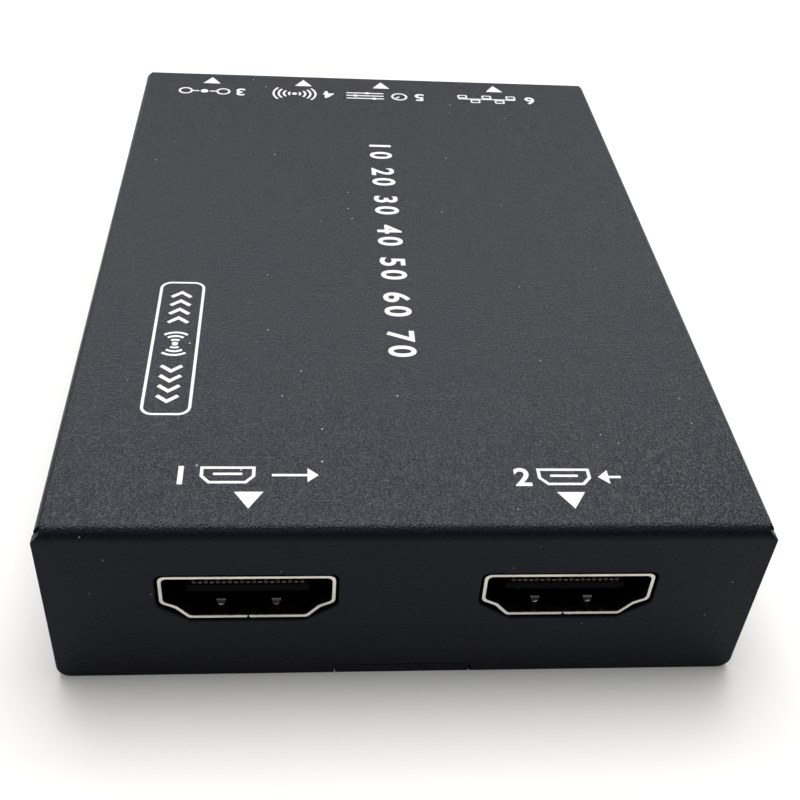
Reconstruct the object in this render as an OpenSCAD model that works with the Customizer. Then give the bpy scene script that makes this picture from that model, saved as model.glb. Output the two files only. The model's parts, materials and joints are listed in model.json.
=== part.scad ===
// Video extender box: a folded steel cover and base plate round one circuit board,
// with two video sockets in front and power, infrared, service and network sockets behind.
// X runs to the right seen from the front, Y to the rear and Z up, from the middle of the underside.

/* [Cover] */
// Width across the front and rear flanges
body_w = 60.4; // [58:0.1:90]
// Depth from the front face to the rear face
body_d = 86.5; // [82:0.5:130]
// Height from the table to the top
body_h = 18; // [17.6:0.1:30]
// Thickness of the cover's sheet steel
cover_t = 0.8; // [0.6:0.05:1]
// Outer radius of the cover's bends
bend_r = 1.05; // [1.02:0.01:1.6]
// Radius of the lower corners of the front and rear flanges
flange_corner_r = 1.2; // [0.4:0.1:3]

/* [Base] */
// Thickness of the base plate
base_t = 1; // [0.8:0.05:1.2]
// Width of the notches in the flanges that the base plate's tabs fill
notch_w = 12.2; // [8:0.1:18]
// Width of each upturned ear that carries a case screw
ear_w = 10; // [7:0.5:16]
// Height of the ears above the table
ear_h = 7.2; // [6.6:0.1:9]
// Height of the standoffs between base plate and board
standoff_h = 5; // [4.5:0.1:6]

/* [Board] */
// Thickness of the circuit board
board_t = 1.6; // [1.2:0.1:2]
// Diameter of the screw thread used throughout
thread_d = 3; // [2:0.1:3]

/* [Video sockets] */
// Distance between the middles of the two video sockets
video_pitch = 27; // [24:0.5:28]
// Width of each video opening
video_w = 14; // [13:0.1:15]
// Height of each video opening
video_h = 4.55; // [4.3:0.05:5]
// Length of a video socket behind the front face
video_l = 12; // [10:0.5:16]
// Thickness of the socket shell's sheet
video_t = 0.3; // [0.24:0.02:0.4]
// Air gap between a socket shell and the panel
video_gap = 0.25; // [0.1:0.05:0.5]

/* [Network socket] */
// Place of the network socket's middle, as a share of half the box's width
network_share = 0.556; // [0.5:0.001:0.57]
// Width of the network socket over its shield
network_w = 16; // [15.6:0.1:17]
// Height of the network socket over its shield
network_h = 11.6; // [11.4:0.1:12]
// Length of the network socket
network_l = 18; // [17:0.5:21]
// Width of the plug opening
plug_w = 11.9; // [11.7:0.1:12.2]

/* [Power socket] */
// Place of the power socket's middle, as a share of half the box's width
power_share = -0.699; // [-0.72:0.001:-0.66]
// Bore of the power socket
power_bore_d = 6.3; // [5.8:0.1:7]
// Diameter of the power socket's middle pin
power_pin_d = 2; // [1.6:0.05:2.5]
// Length of the power socket
power_l = 13.6; // [12:0.1:16]

/* [Infrared socket] */
// Place of the infrared socket's middle, as a share of half the box's width
infrared_share = -0.298; // [-0.33:0.001:-0.27]
// Bore of the infrared socket
infrared_bore_d = 3.6; // [3.55:0.01:3.8]
// Length of the infrared socket
infrared_l = 12; // [11:0.1:14]

/* [Service socket] */
// Place of the service socket's middle, as a share of half the box's width
service_share = 0.046; // [0:0.001:0.08]
// Width of the service socket over its shell
service_w = 7.5; // [7:0.1:8]
// Height of the service socket over its shell
service_h = 2.6; // [2.4:0.1:3]

/* [Hidden] */

$fn = 64;

// Overrun of every cut past the face that it opens
over = 0.5;
// Air gap between loose sheet metal pieces
sheet_gap = 0.15;
tab_gap = 0.06;
// Air gap round pieces that are pressed or moulded together
seat_gap = 0.03;

// Cover
y_front = -body_d / 2;
y_rear = body_d / 2;
inner_bend_r = bend_r - cover_t;
// How far the front and rear flanges stand past each side face
flange_lap = 0.1;
side_w = body_w - 2 * flange_lap;
// Material taken off each end of the front and rear bends
corner_relief = 0.75;
corner_round = 0.25;
notch_h = base_t + sheet_gap / 2;
notch_r = notch_h / 2;

// Base plate
base_w = side_w - 2 * (cover_t + sheet_gap);
base_d = body_d - 2 * (cover_t + sheet_gap);
base_corner_r = 1.5;
ear_bend_r = base_t + inner_bend_r;
// Ear places along the depth, as shares of the body's depth from its middle
ear_share = 0.36;
collar_l = 1.1;
collar_wall = 0.7;

// Screws
thread_gap = 0.05;
screw_head_d = 5.5;
flat_head_h = (screw_head_d - thread_d) / 2;
pan_head_h = 1.9;
case_screw_l = 4;
board_screw_l = 5.5;
recess_w = 0.8;
recess_l = 2.8;
recess_depth = 1;
standoff_d = 5.6;
standoff_foot_d = 4.8;

// Board
board_z = base_t + standoff_h;
board_top = board_z + board_t;
board_gap = 0.5;
case_screw_z = board_z - thread_d / 2 - collar_wall - sheet_gap;
board_w = base_w - 2 * (base_t + board_gap);
board_y0 = y_front + cover_t + board_gap;
board_y1 = y_rear - cover_t - board_gap;
board_d = board_y1 - board_y0;
board_corner_r = 1;
board_hole_d = thread_d + 0.1 * thread_d;
// Board screw places, as shares of the board's half width and of its depth from the front
board_screw_shares = [[-0.87, 0.2], [0.87, 0.2], [-0.87, 0.57], [0.87, 0.57]];

// Video sockets: half outline as shares of the opening's half width and half height
video_shares = [[1, 1], [1, -0.22], [0.84, -0.47], [0.69, -1]];
cutout_shares = [[1, 1], [1, -0.27], [0.66, -1]];
video_setback = 0.12;
video_y = y_front + video_setback;
video_z = board_top + video_t + video_h / 2;
video_round_r = 0.45;
video_seam_w = 0.08;
video_seam_notch = 0.14;
video_seam_lock = 0.4;
contact_pitch = 0.5;
contact_w = 0.3;
contact_t = 0.12;
tongue_w = 10.3;
tongue_t = 1.2;
tongue_top = 0.65;
tongue_setback = 1;
tongue_wall = 0.12;
block_y = 6.4;
tail_l = 0.9;
finger_spacing = 4.65;
finger_root = 6.2;
finger_tip = 1;
finger_nose = 0.45;
finger_w = 0.8;
finger_rise = 0.5;
finger_gap = 0.15;
leg_l = 1.2;
leg_below = 0.6;
leg_places = [3.2, 9.2];
leg_slot_gap = 0.15;

// Rear sockets
socket_setback = cover_t + 0.2 * sheet_gap;
socket_y = y_rear - socket_setback;
socket_gap = 0.2;
network_x = network_share * body_w / 2;
network_roof_gap = 1.2;
network_z0 = body_h - cover_t - network_roof_gap - network_h;
network_t = 0.25;
cavity_h = 6.7;
cavity_l = 13;
cavity_roof = 0.9;
latch_w = 6.4;
latch_h = 1.5;
keel_w = 3.4;
keel_h = 2.6;
wire_pitch = 1.02;
wire_t = 0.36;
light_w = 2.6;
light_h = 2.1;
light_l = 6;
wing_w = 1.1;
power_x = power_share * body_w / 2;
power_w = 9;
power_sink = 2;
power_roof_gap = 1.6;
power_low = board_top - power_sink;
power_h = body_h - cover_t - power_roof_gap - power_low;
power_z = power_low + power_h / 2;
power_bore_l = 9.6;
power_pin_l = 9;
power_root_d = 1.3 * power_pin_d;
power_panel_d = 8;
infrared_x = infrared_share * body_w / 2;
infrared_w = 7;
infrared_h = 5.6;
infrared_z = board_top + infrared_h / 2;
infrared_sleeve_d = 4.8;
infrared_throat_d = 4.3;
infrared_sleeve_l = 3.6;
infrared_panel_d = 6.2;
service_x = service_share * body_w / 2;
service_l = 5.6;
service_t = 0.3;
service_z = board_top + service_h / 2;
service_shares = [[1, 1], [1, -0.1], [0.72, -1]];
pin_pitch = 0.65;

// Parts on the board, placed by shares of the board's half width and of its depth from the front
chip_edge = 0.15;
processor_w = 14;
processor_h = 1.3;
processor_share = [0, 0.52];
pad_t = 0.3;
sink_w = 0.36 * board_w;
sink_roof_gap = 2;
sink_h = body_h - cover_t - sink_roof_gap - board_top - processor_h - pad_t;
sink_floor = 1.6;
fin_count = 8;
fin_t = 1;
splitter_w = 9;
splitter_h = 0.9;
splitter_share = [0, 0.27];
controller_size = [4.4, 6.5, 1];
controller_share = [0.6, 0.38];
transformer_size = [7, 12.7, 5.8];
transformer_share = 0.58;
transformer_gap = 1.2;
transformer_y = socket_y - network_l - transformer_gap - transformer_size.y / 2;
regulator_size = [3.9, 4.9, 1.5];
regulator_shares = [[-0.83, 0.37], [-0.83, 0.28]];
lead_pitch = 1.27;
lead_w = 0.4;
lead_t = 0.2;
lead_l = 1;
inductor_w = 6;
inductor_h = 2.8;
inductor_shares = [[-0.58, 0.57], [-0.58, 0.47]];
can_d = 6.3;
can_h = 5.4;
can_foot_h = 0.8;
can_gap = 1;
can_y = socket_y - power_l - power_pin_d - can_gap - can_d / 2;
rear_can_shares = [-0.84, -0.54];
side_can_share = [0.85, 0.31];
crystal_size = [5, 3.2, 1];
crystal_shares = [[0.45, 0.29], [-0.33, 0.69]];
ceramic_size = [1.6, 0.8, 0.8];
ceramic_cap = 0.35;
ceramic_row_shares = [[-0.5, 0.22], [0.5, 0.22], [-0.42, 0.36], [0.75, 0.5], [0, 0.75]];
ceramic_count = 5;
ceramic_step = 2.4;

// Colours as the finished pieces show them
coat = "#2c2d30";
nickel = "#c9c5b8";
gold = "#d8b25a";
black_plastic = "#17181a";

function unit(v) = v / norm(v);

function outward(a, b) = unit([b.y - a.y, a.x - b.x]);

// An outline with every edge moved outward by d
function grown(pts, d) = let (n = len(pts)) [for (i = [0:n - 1])
    let (a = outward(pts[(i + n - 1) % n], pts[i]), b = outward(pts[i], pts[(i + 1) % n]))
    pts[i] + d * (a + b) / (1 + a * b)];

// The points of a round corner at b, between the edges to a and c
function corner(a, b, c, r, steps) =
    let (u = unit(a - b), v = unit(c - b), half = acos(u * v) / 2,
        middle = b + unit(u + v) * r / sin(half),
        first = b + u * r / tan(half) - middle,
        last = b + v * r / tan(half) - middle,
        start = atan2(first.y, first.x),
        turn = (atan2(last.y, last.x) - start + 540) % 360 - 180)
    [for (i = [0:steps]) middle + r * [cos(start + turn * i / steps), sin(start + turn * i / steps)]];

// A closed outline with round corners, one radius for each corner
function rounded(pts, radii, steps = 6) = let (n = len(pts)) [for (i = [0:n - 1])
    each corner(pts[(i + n - 1) % n], pts[i], pts[(i + 1) % n], radii[i], steps)];

// An open line with its inner corners bent to the radius r
function bent(path, r, steps = 4) = let (n = len(path)) concat([path[0]],
    [for (i = [1:n - 2]) each corner(path[i - 1], path[i], path[i + 1], r, steps)], [path[n - 1]]);

// The outline of a strip of sheet of thickness t, seen along its edge
function ribbon(path, t) =
    let (n = len(path),
        sides = [for (i = [0:n - 2]) outward(path[i], path[i + 1])],
        shift = [for (i = [0:n - 1]) let (a = sides[max(i - 1, 0)], b = sides[min(i, n - 2)])
            t / 2 * (a + b) / (1 + a * b)])
    concat([for (i = [0:n - 1]) path[i] + shift[i]], [for (i = [n - 1:-1:0]) path[i] - shift[i]]);

// A full outline, counter-clockwise, from the right half as shares of a half width and half height
function mirrored_outline(shares, half) = concat(
    [for (i = [len(shares) - 1:-1:0]) [shares[i].x * half.x, shares[i].y * half.y]],
    [for (s = shares) [-s.x * half.x, s.y * half.y]]);

function same(r, n) = [for (i = [1:n]) r];

function on_board(share) = [share.x * board_w / 2, board_y0 + share.y * board_d, board_top];

video_outline = mirrored_outline(video_shares, [video_w, video_h] / 2);
cutout_outline = grown(mirrored_outline(cutout_shares, [video_w, video_h] / 2), video_t + video_gap);

// Extrudes an outline drawn across X and Z backward from y0
module along_y(y0, length) {
    translate([0, y0 + length, 0]) rotate([90, 0, 0]) linear_extrude(length) children();
}

// Extrudes an outline drawn across Y and Z to the right from x0
module along_x(x0, length) {
    translate([x0, 0, 0]) rotate([90, 0, 90]) linear_extrude(length) children();
}

module mirror_x() {
    children();
    mirror([1, 0, 0]) children();
}

module mirror_y() {
    children();
    mirror([0, 1, 0]) children();
}

module round_plate(w, h, r) {
    polygon(rounded([[w, h] / 2, [-w, h] / 2, [-w, -h] / 2, [w, -h] / 2], same(r, 4)));
}

// A block whose upright edges are rounded, standing at z0
module round_block(size, r, z0 = 0) {
    translate([0, 0, z0]) linear_extrude(size.z) round_plate(size.x, size.y, r);
}

module arch(span, height, r) {
    translate([-span / 2, 0]) square([span, height - r]);
    translate([-span / 2 + r, 0]) square([span - 2 * r, height]);
    for (s = [-1, 1]) translate([s * (span / 2 - r), height - r]) circle(r);
}

// Sheet folded down along two sides, seen along the bends
module fold(span) {
    difference() {
        arch(span, body_h, bend_r);
        translate([0, -over]) arch(span - 2 * cover_t, body_h - cover_t + over, inner_bend_r);
    }
}

// Front and rear flanges as their flat sheet is cut, with clipped upper corners
module flange_outline() {
    half = body_w / 2;
    shoulder = body_h - bend_r;
    neck = half - corner_relief;
    right = [[half, 0], [half, shoulder], [neck, shoulder + corner_relief], [neck, body_h + over]];
    radii = [flange_corner_r, corner_round, corner_round, corner_round];
    left = [for (i = [3:-1:0]) [-right[i].x, right[i].y]];
    polygon(rounded(concat(right, left), concat(radii, [for (i = [3:-1:0]) radii[i]])));
}

module notch() {
    w = notch_w / 2;
    polygon(rounded([[w, -over], [w, notch_h], [-w, notch_h], [-w, -over]],
        [corner_round, notch_r, notch_r, corner_round]));
}

// The screw's head sits in a cone that runs on through the ear behind the sheet
module case_screw_seats(extra) {
    mirror_x() mirror_y() translate([side_w / 2, ear_share * body_d, case_screw_z])
        rotate([0, -90, 0]) {
            translate([0, 0, -over])
                cylinder(h = over + extra, r = screw_head_d / 2 + extra);
            translate([0, 0, extra])
                cylinder(h = flat_head_h, r1 = screw_head_d / 2 + extra, r2 = thread_d / 2 + extra);
        }
}

module cover() {
    color(coat) difference() {
        union() {
            intersection() {
                along_x(-body_w / 2, body_w) fold(body_d);
                along_y(y_front - over, body_d + 2 * over) flange_outline();
            }
            along_y(y_front + cover_t + sheet_gap, body_d - 2 * (cover_t + sheet_gap)) fold(side_w);
        }
        mirror_y() along_y(y_front - over, over + cover_t + sheet_gap / 2) notch();
        for (s = [-1, 1]) translate([s * video_pitch / 2, 0, video_z])
            along_y(y_front - over, 2 * over + cover_t)
                polygon(rounded(cutout_outline, same(video_round_r + video_gap, len(cutout_outline))));
        rear_cutouts();
        case_screw_seats(thread_gap);
    }
}

module rear_cutouts() {
    y = y_rear - cover_t - over;
    depth = cover_t + 2 * over;
    translate([network_x, 0, network_z0 + network_h / 2]) along_y(y, depth)
        round_plate(network_w + 2 * socket_gap, network_h + 2 * socket_gap, corner_round);
    translate([power_x, 0, power_z]) along_y(y, depth) circle(power_panel_d / 2);
    translate([infrared_x, 0, infrared_z]) along_y(y, depth) circle(infrared_panel_d / 2);
    translate([service_x, 0, service_z]) along_y(y, depth)
        round_plate(service_w + 4 * socket_gap, service_h + 4 * socket_gap, corner_round);
}

module ear_profile() {
    far = base_w / 2;
    path = bent([[far - ear_bend_r - base_t, base_t / 2], [far - base_t / 2, base_t / 2],
        [far - base_t / 2, ear_h]], ear_bend_r - base_t / 2, 8);
    polygon(ribbon(path, base_t));
}

module base_plate() {
    tab_w = notch_w / 2 - tab_gap;
    tab_l = cover_t + sheet_gap + base_corner_r;
    color(coat) difference() {
        union() {
            difference() {
                round_block([base_w, base_d, base_t], base_corner_r);
                mirror_x() mirror_y() translate([base_w / 2, ear_share * body_d, 0])
                    cube([2 * ear_bend_r, ear_w + 2 * sheet_gap, 3 * base_t], center = true);
            }
            mirror_y() along_y(y_front + sheet_gap / 2, tab_l)
                polygon(rounded([[tab_w, base_t], [-tab_w, base_t], [-tab_w, 0], [tab_w, 0]],
                    [notch_r - tab_gap, notch_r - tab_gap, base_t / 4, base_t / 4]));
            mirror_x() mirror_y() translate([0, ear_share * body_d, 0]) {
                along_y(-ear_w / 2, ear_w) ear_profile();
                translate([base_w / 2 - base_t, 0, case_screw_z]) rotate([0, -90, 0])
                    cylinder(h = collar_l, r = thread_d / 2 + collar_wall);
            }
        }
        mirror_x() mirror_y() translate([base_w / 2 + over, ear_share * body_d, case_screw_z])
            rotate([0, -90, 0]) cylinder(h = base_t + collar_l + 2 * over, r = thread_d / 2);
        case_screw_seats(thread_gap);
        for (s = board_screw_shares) translate([on_board(s).x, on_board(s).y, -over])
            cylinder(h = base_t + 2 * over, r = standoff_foot_d / 2 + seat_gap);
    }
}

module cross_recess() {
    for (a = [0, 90]) rotate([0, 0, a])
        translate([-recess_l / 2, -recess_w / 2, -over]) cube([recess_l, recess_w, recess_depth + over]);
}

// A flat-headed screw along -Z, its head's face at zero
module flat_screw() {
    difference() {
        rotate_extrude() polygon([[0, 0], [screw_head_d / 2, 0], [thread_d / 2 - thread_gap, -flat_head_h],
            [thread_d / 2 - thread_gap, -case_screw_l], [0, -case_screw_l]]);
        rotate([180, 0, 0]) cross_recess();
    }
}

module case_screws() {
    color(coat) mirror_x() mirror_y()
        translate([side_w / 2, ear_share * body_d, case_screw_z]) rotate([0, 90, 0]) flat_screw();
}

module board_standoffs() {
    color(nickel) for (s = board_screw_shares) translate([on_board(s).x, on_board(s).y, 0])
        difference() {
            union() {
                cylinder(h = base_t, r = standoff_foot_d / 2);
                translate([0, 0, base_t]) cylinder(h = standoff_h, r = standoff_d / 2);
            }
            translate([0, 0, -over]) cylinder(h = board_z + 2 * over, r = thread_d / 2);
        }
}

// A round-headed screw that clamps the board to its standoff
module board_screw() {
    head_r = screw_head_d / 2;
    shank_r = thread_d / 2 - thread_gap;
    dome = [for (a = [0:15:90]) [head_r * cos(a), pan_head_h / 2 + pan_head_h / 2 * sin(a)]];
    difference() {
        rotate_extrude() polygon(concat([[0, -board_screw_l], [shank_r, -board_screw_l],
            [shank_r, 0], [head_r, 0]], dome));
        translate([0, 0, pan_head_h]) rotate([180, 0, 0]) cross_recess();
    }
}

module board_screws() {
    color(nickel) for (s = board_screw_shares) translate(on_board(s)) board_screw();
}

// The place that a sunk socket takes out of the board's rear edge
module board_notch(x, w, l) {
    span = l + seat_gap + over;
    translate([x, socket_y + over - span / 2, board_z - over])
        round_block([w + 2 * socket_gap, span, board_t + 2 * over], corner_round);
}

module circuit_board() {
    middle_y = (board_y0 + board_y1) / 2;
    color("#1d5b3a") difference() {
        translate([0, middle_y, 0]) round_block([board_w, board_d, board_t], board_corner_r, board_z);
        for (s = board_screw_shares) translate([on_board(s).x, on_board(s).y, board_z - over])
            cylinder(h = board_t + 2 * over, r = board_hole_d / 2);
        for (s = [-1, 1]) translate([s * video_pitch / 2, 0, 0]) video_legs(leg_slot_gap);
        board_notch(network_x, network_w, network_l);
        board_notch(power_x, power_w, power_l);
    }
}

// Video sockets

module video_legs(extra) {
    below = board_z - leg_below;
    mirror_x() for (p = leg_places)
        translate([video_w / 2 - extra, video_y + p - extra, below - extra])
            cube([video_t + 2 * extra, leg_l + 2 * extra, video_z - below + 2 * extra]);
}

module finger_slots(side) {
    span = finger_root - finger_tip + finger_gap;
    floor = side * (video_h + video_t) / 2;
    for (s = [-1, 1]) translate([s * finger_spacing / 2, video_y + finger_tip - finger_gap + span / 2, floor])
        cube([finger_w + 2 * finger_gap, span, 2 * video_t], center = true);
}

// Sprung fingers cut out of the shell, rooted at the rear and raised into the opening
module fingers(side) {
    floor = side * (video_h + video_t) / 2;
    crest = floor - side * (finger_rise + video_t / 2);
    path = bent([[video_y + finger_root + video_t, floor], [video_y + finger_root - video_t, floor],
        [video_y + finger_tip + finger_nose, crest], [video_y + finger_tip, floor - side * video_t / 2]],
        video_t);
    for (s = [-1, 1]) intersection() {
        along_x(s * finger_spacing / 2 - finger_w / 2, finger_w) polygon(ribbon(path, 0.8 * video_t));
        translate([s * finger_spacing / 2, video_y + finger_tip + finger_w / 2, -video_h]) {
            cylinder(h = 2 * video_h, r = finger_w / 2);
            translate([-finger_w / 2, 0, 0]) cube([finger_w, finger_root, 2 * video_h]);
        }
    }
}

// The seam along the shell's floor, seen from above, with a hooked lock near its front
seam_path = bent([[0, -over], [0, video_seam_lock], [-video_seam_lock, 1.3 * video_seam_lock],
    [-video_seam_lock, 2.7 * video_seam_lock], [0, 3 * video_seam_lock], [0, video_l + over]],
    video_seam_lock / 5);

module video_shell(x) {
    outer = rounded(grown(video_outline, video_t), same(video_round_r + video_t / 2, len(video_outline)));
    inner = rounded(video_outline, same(video_round_r, len(video_outline)));
    bottom = -video_h / 2 - video_t;
    color(nickel) translate([x, 0, 0]) {
        video_legs(0);
        translate([0, 0, video_z]) {
            difference() {
                along_y(video_y, video_l) polygon(outer);
                along_y(video_y - over, video_l + over - video_t) polygon(inner);
                along_y(video_y + block_y, video_l) translate([-tongue_w / 2, bottom - over])
                    square([tongue_w, video_h / 3 + over]);
                translate([0, video_y, bottom - over]) linear_extrude(video_t + 2 * over)
                    polygon(ribbon(seam_path, video_seam_w));
                along_y(video_y - over, over + video_t) polygon([[-video_seam_notch, bottom],
                    [video_seam_notch, bottom], [0, bottom + 1.6 * video_t]]);
                finger_slots(1);
                finger_slots(-1);
            }
            fingers(1);
            fingers(-1);
        }
    }
}

// One contact: its cut end at the top of the tongue's nose, then along the tongue, over the
// rear block and down to the board. The lower contacts pass through the nose.
module video_contact(i, extra) {
    upper = i % 2 == 0;
    side = upper ? 1 : -1;
    face = upper ? tongue_top : tongue_top - tongue_t;
    run = face - side * contact_t / 4;
    tip_y = video_y + tongue_setback + tongue_wall + contact_t / 2;
    tip_z = upper ? run - 2 * contact_t : tongue_top + contact_t / 4;
    back_y = video_y + video_l - video_t - contact_t - (upper ? 0 : 2 * contact_t);
    foot_z = -video_h / 2 - video_t + contact_t / 2;
    path = bent([[tip_y, tip_z], [tip_y, run], [back_y, run], [back_y, foot_z],
        [video_y + video_l + tail_l, foot_z]], contact_t);
    translate([(i - 9) * contact_pitch, 0, 0])
        along_x(-contact_w / 2 - extra, contact_w + 2 * extra) polygon(ribbon(path, contact_t + 2 * extra));
}

module video_contacts(x) {
    color(gold) translate([x, 0, video_z]) for (i = [0:18]) video_contact(i, 0);
}

module video_insulator(x) {
    block = rounded(grown(video_outline, -seat_gap), same(video_round_r, len(video_outline)));
    block_l = video_l - block_y - video_t - 4 * contact_t;
    color(black_plastic) translate([x, 0, video_z]) difference() {
        union() {
            along_y(video_y + block_y, block_l) polygon(block);
            translate([0, video_y + tongue_setback, tongue_top - tongue_t])
                along_x(-tongue_w / 2, tongue_w)
                    polygon([[0, tongue_t / 5], [tongue_t / 6, 0], [block_y, 0], [block_y, tongue_t],
                        [tongue_t / 6, tongue_t], [0, 4 * tongue_t / 5]]);
        }
        for (i = [0:18]) video_contact(i, seat_gap);
    }
}

// Network socket, sunk into the rear of the board

module network_shield() {
    z1 = network_h - network_t;
    inner_w = network_w - 2 * network_t;
    color(nickel) translate([network_x, 0, network_z0]) difference() {
        union() {
            translate([-network_w / 2, socket_y - network_l, 0]) cube([network_w, network_l, network_h]);
            mirror_x() translate([network_w / 2, socket_y - network_l, board_top - network_z0])
                cube([wing_w, network_l / 2, network_t]);
        }
        translate([-inner_w / 2, socket_y - network_l + network_t, -over])
            cube([inner_w, network_l, z1 + over]);
        translate([-inner_w / 2, socket_y - network_l - over, -over])
            cube([inner_w, network_t + 2 * over, network_h / 4 + over]);
    }
}

module network_cavity() {
    roof = network_h - network_t - cavity_roof;
    low = roof - cavity_h;
    y0 = socket_y - cavity_l;
    translate([-plug_w / 2, y0, low]) cube([plug_w, cavity_l + over, cavity_h]);
    translate([-latch_w / 2, y0, low - latch_h]) cube([latch_w, cavity_l + over, latch_h + over]);
    translate([-keel_w / 2, y0, low - keel_h]) cube([keel_w, cavity_l + over, keel_h + over]);
}

module light_pipes(extra) {
    reach_x = plug_w / 2 + network_t;
    for (s = [-1, 1]) translate([s * (reach_x - light_w / 2), socket_y - light_l / 2 - extra / 2,
        2 * network_t + light_h / 2])
        cube([light_w + 2 * extra, light_l + extra, light_h + 2 * extra], center = true);
}

// One sprung wire: back along the roof, down behind the housing, and slanting into the cavity
module network_wire(i, extra) {
    roof = network_h - network_t - cavity_roof;
    front = socket_y - 2.5 * wire_t;
    rear = socket_y - network_l + network_t + wire_t;
    hidden = roof + 1.4 * wire_t;
    path = bent([[socket_y - 0.75 * cavity_l, roof - 0.28 * cavity_h], [front, roof - 0.8 * wire_t],
        [front, hidden], [rear, hidden], [rear, board_z - network_z0 - leg_below]], 0.6 * wire_t);
    translate([(i - 3.5) * wire_pitch, 0, 0])
        along_x(-wire_t / 2 - extra, wire_t + 2 * extra) polygon(ribbon(path, wire_t + 2 * extra));
}

module network_housing() {
    w = network_w - 2 * (network_t + seat_gap);
    h = network_h - network_t - seat_gap;
    l = network_l - network_t - 3 * wire_t;
    color(black_plastic) translate([network_x, 0, network_z0]) difference() {
        translate([-w / 2, socket_y - l, 0]) cube([w, l, h]);
        network_cavity();
        translate([0, over, 0]) light_pipes(seat_gap + over);
        for (i = [0:7]) network_wire(i, seat_gap);
    }
}

module network_contacts() {
    color(gold) translate([network_x, 0, network_z0]) for (i = [0:7]) network_wire(i, 0);
}

module network_light_pipes() {
    color("#c9d6a0") translate([network_x, 0, network_z0]) light_pipes(0);
}

// Power socket

module power_housing() {
    color(black_plastic) translate([power_x, 0, 0]) difference() {
        union() {
            translate([-power_w / 2, socket_y - power_l, power_low]) cube([power_w, power_l, power_h]);
            mirror_x() translate([power_w / 2 - over, socket_y - power_l, board_top])
                cube([over + wing_w, power_l / 2, wing_w]);
        }
        translate([0, 0, power_z]) along_y(socket_y - power_bore_l, power_bore_l + over)
            circle(power_bore_d / 2);
        translate([0, 0, power_z]) along_y(socket_y - power_l - over, power_l)
            circle(power_root_d / 2 + seat_gap);
        power_leaf(seat_gap + over);
    }
}

// The pin has a wider root in the housing, and a lug beside the leaf down to the board
module power_pin() {
    r = power_pin_d / 2;
    root_r = power_root_d / 2;
    root_l = power_l - power_bore_l;
    lug_t = power_pin_d / 5;
    shoulder = root_l + lug_t;
    tip = shoulder + power_pin_l;
    color(nickel) translate([power_x, socket_y - power_l - lug_t, power_z]) {
        rotate([-90, 0, 0]) rotate_extrude() polygon(concat(
            [[0, 0], [root_r, 0], [root_r, shoulder], [r, shoulder]],
            [for (a = [0:15:90]) [r * cos(a), tip - r + r * sin(a)]]));
        along_y(0, lug_t) polygon([[-root_r, root_r], [-root_r, -root_r], [root_r, -root_r],
            [root_r, board_top - power_z], [3 * root_r, board_top - power_z], [3 * root_r, root_r]]);
    }
}

// The leaf that presses on the plug's barrel, in a slot under the bore
module power_leaf(extra) {
    leaf_t = power_pin_d / 8;
    leaf_w = power_pin_d;
    reach = power_bore_d / 2;
    path = bent([[socket_y - power_l - leaf_w, board_top + leaf_t / 2],
        [socket_y - power_l, board_top + leaf_t / 2],
        [socket_y - power_bore_l - leaf_t, power_z - reach - leaf_t],
        [socket_y - power_bore_l / 2, power_z - reach + 2 * leaf_t],
        [socket_y - leaf_w, power_z - reach - 2 * leaf_t]], leaf_t);
    slot_low = min(board_top - leaf_t, power_z - reach - 3 * leaf_t);
    slot_top = max(board_top + 2 * leaf_t, power_z - reach / 2);
    if (extra > 0)
        translate([-leaf_w / 2 - seat_gap, socket_y - power_l - over, slot_low])
            cube([leaf_w + 2 * seat_gap, power_l + over - leaf_w / 2, slot_top - slot_low]);
    else
        along_x(-leaf_w / 2, leaf_w) polygon(ribbon(path, leaf_t));
}

module power_spring() {
    color(nickel) translate([power_x, 0, 0]) power_leaf(0);
}

// Infrared socket

module infrared_housing() {
    color(black_plastic) translate([infrared_x, 0, infrared_z]) difference() {
        translate([-infrared_w / 2, socket_y - infrared_l, -infrared_h / 2])
            cube([infrared_w, infrared_l, infrared_h]);
        along_y(socket_y - infrared_l + infrared_w / 6, infrared_l) circle(infrared_throat_d / 2);
        along_y(socket_y - infrared_sleeve_l - seat_gap, infrared_l) circle(infrared_sleeve_d / 2 + seat_gap);
        mirror_x() spring_slot();
    }
}

module infrared_sleeve() {
    color(nickel) translate([infrared_x, 0, infrared_z])
        along_y(socket_y - infrared_sleeve_l, infrared_sleeve_l) difference() {
            circle(infrared_sleeve_d / 2);
            circle(infrared_bore_d / 2);
        }
}

module spring_slot() {
    reach = infrared_bore_d / 2;
    span = infrared_l + over - 1.4 * infrared_sleeve_l;
    translate([reach / 2, socket_y - infrared_l - over, -infrared_h / 8])
        cube([infrared_w / 2 - reach / 2 - reach / 6, span, infrared_h / 4]);
}

module infrared_springs() {
    t = infrared_bore_d / 16;
    reach = infrared_bore_d / 2;
    back = -infrared_l - t;
    path = bent([[reach + t, back], [reach + 3 * t, back + 3 * t], [reach + 3 * t, back + infrared_l / 3],
        [reach - t, back + infrared_l / 2], [reach + 2 * t, back + 0.55 * infrared_l]], t);
    color(gold) translate([infrared_x, socket_y, infrared_z - infrared_h / 8 + seat_gap])
        mirror_x() linear_extrude(infrared_h / 4 - 2 * seat_gap) polygon(ribbon(path, t));
}

// Service socket

service_outline = mirrored_outline(service_shares, [service_w, service_h] / 2);

module service_shell() {
    outer = rounded(service_outline, same(2 * service_t, len(service_outline)));
    inner = rounded(grown(service_outline, -service_t), same(service_t, len(service_outline)));
    color(nickel) translate([service_x, 0, service_z]) difference() {
        along_y(socket_y - service_l, service_l) polygon(outer);
        along_y(socket_y - service_l - over, service_l + 2 * over) polygon(inner);
    }
}

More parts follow.
